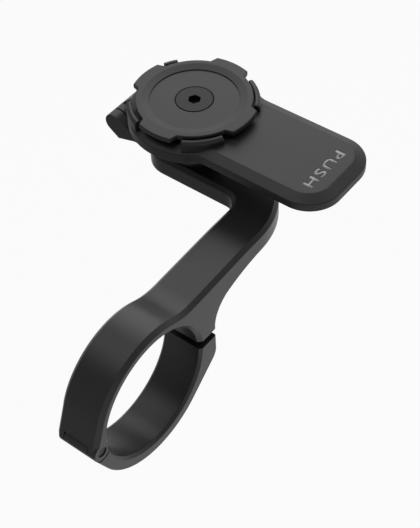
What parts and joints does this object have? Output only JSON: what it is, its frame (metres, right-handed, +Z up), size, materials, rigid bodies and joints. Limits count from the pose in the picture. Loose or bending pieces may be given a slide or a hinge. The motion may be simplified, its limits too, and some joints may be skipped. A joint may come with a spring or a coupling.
{
  "type": "bike phone mount",
  "caption": "Handlebar phone mount: a hinged split clamp, a swept arm that turns sideways into a plate, and a lobed twist-lock disc released by a sprung push lever.",
  "frame": {"origin": "centre of the handlebar's bore, at the middle of the clamp's width", "axes": "+X along the handlebar, +Y forward to the head, +Z up, square to the face of the locking disc"},
  "size_m": [0.0725, 0.0994, 0.0584],
  "materials": {
    "anodised_alloy": "satin black anodised",
    "moulded_plastic": "fine satin black",
    "blackened_steel": "black oxide",
    "spring_steel": "drawn wire"
  },
  "bodies": {
    "mount": {"arm": "anodised_alloy", "clamp_hinge_pin": "blackened_steel", "head_base": "moulded_plastic", "locking_disc": "moulded_plastic", "disc_screw": "blackened_steel", "lever_hinge_pin": "blackened_steel", "return_spring": "spring_steel"},
    "lower_half": {"lower_clamp": "anodised_alloy"},
    "bolt": {"clamp_bolt": "blackened_steel", "bolt_washer": "blackened_steel"},
    "lever": {"push_lever": "moulded_plastic"}
  },
  "joints": [
    {"name": "lever_push", "type": "hinge", "parent": "mount", "child": "lever", "pos_m": [-0.0479, 0.0589, 0.0231], "axis": [0, 1, 0], "range_deg": [0, 5], "stiffness_Nm_per_rad": 4, "springref_deg": -4.58, "deforming": ["return_spring"]},
    {"name": "clamp_open", "type": "hinge", "parent": "mount", "child": "lower_half", "pos_m": [0, -0.02019, -0.00077], "axis": [-1, 0, 0], "range_deg": [0, 5]},
    {"name": "bolt_unscrew", "type": "slide", "parent": "mount", "child": "bolt", "axis": [0, 0, -1], "range_m": [0, 0.0042]}
  ],
  "couplings": [
    {"joint": "bolt_unscrew", "follows": "clamp_open", "m_per_rad": 0.046}
  ]
}
